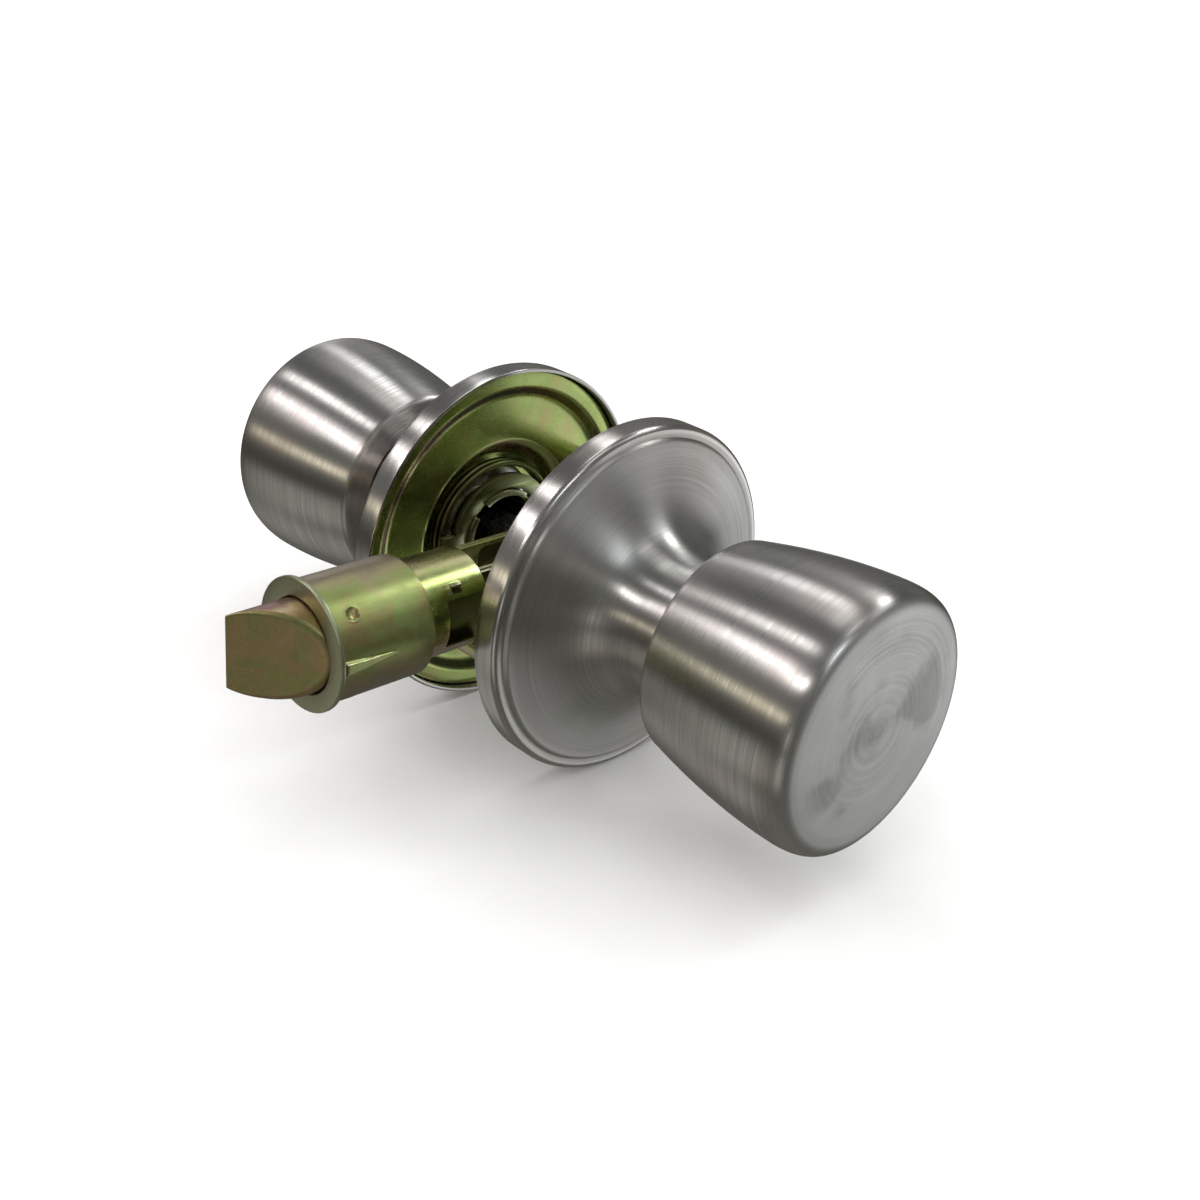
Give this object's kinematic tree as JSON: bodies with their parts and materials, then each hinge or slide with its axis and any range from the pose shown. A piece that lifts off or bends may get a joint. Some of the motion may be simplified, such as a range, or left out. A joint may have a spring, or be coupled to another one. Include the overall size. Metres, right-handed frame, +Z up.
{
  "type": "tubular passage knob set",
  "caption": "Tubular passage knob set: two flared round knobs on dished roses, joined by a spindle, with a sprung drive-in latch whose bevelled bolt draws back as the knobs turn.",
  "frame": {"origin": "centre of the overall box: on the latch axis in the middle of the door's thickness, 18.95 mm towards the bolt from the spindle axis", "axes": "+Z up; -X along the latch towards the door edge and the bolt's nose; the spindle lies along Y, with the near knob on -Y and the far knob on +Y"},
  "size_m": [0.1084, 0.158, 0.07],
  "materials": {
    "satin_stainless": "satin",
    "yellow_chromate": "yellow zinc chromate",
    "bright_steel": "bright zinc",
    "nylon": "natural"
  },
  "bodies": {
    "lockset": {"near_rose": "satin_stainless", "far_rose": "satin_stainless", "near_backplate": "yellow_chromate", "far_backplate": "yellow_chromate", "near_return_spring": "bright_steel", "far_return_spring": "bright_steel", "near_neck_bush": "nylon", "far_neck_bush": "nylon", "near_thrust_washer": "bright_steel", "far_thrust_washer": "bright_steel", "front_post": "yellow_chromate", "rear_post": "yellow_chromate", "front_screw": "bright_steel", "rear_screw": "bright_steel", "latch_collar": "yellow_chromate", "latch_sleeve": "yellow_chromate", "latch_case": "yellow_chromate", "latch_frame": "yellow_chromate", "latch_frame_rivet": "bright_steel", "latch_frame_spacer": "bright_steel", "latch_spring": "bright_steel"},
    "knobs": {"near_knob_shell": "satin_stainless", "far_knob_shell": "satin_stainless", "near_knob_core": "yellow_chromate", "far_knob_core": "yellow_chromate", "near_drive_tube": "yellow_chromate", "far_drive_tube": "yellow_chromate", "near_retaining_ring": "bright_steel", "far_retaining_ring": "bright_steel", "near_spring_driver": "yellow_chromate", "far_spring_driver": "yellow_chromate", "near_spindle_socket": "bright_steel", "far_spindle_socket": "bright_steel", "spindle": "bright_steel", "latch_hub": "yellow_chromate"},
    "bolt": {"latch_bolt": "yellow_chromate", "latch_tail_rod": "yellow_chromate", "latch_retractor": "yellow_chromate"}
  },
  "joints": [
    {"name": "knob_turn", "type": "hinge", "parent": "lockset", "child": "knobs", "pos_m": [0.01895, 0, 0], "axis": [0, 1, 0], "range_deg": [0, 67.8], "stiffness_Nm_per_rad": 0.4, "springref_deg": -20.05},
    {"name": "bolt_slide", "type": "slide", "parent": "lockset", "child": "bolt", "axis": [1, 0, 0], "range_m": [0, 0.0115], "deforming": ["latch_spring"]}
  ],
  "couplings": [
    {"joint": "bolt_slide", "follows": "knob_turn", "m_per_rad": 0.0097}
  ]
}
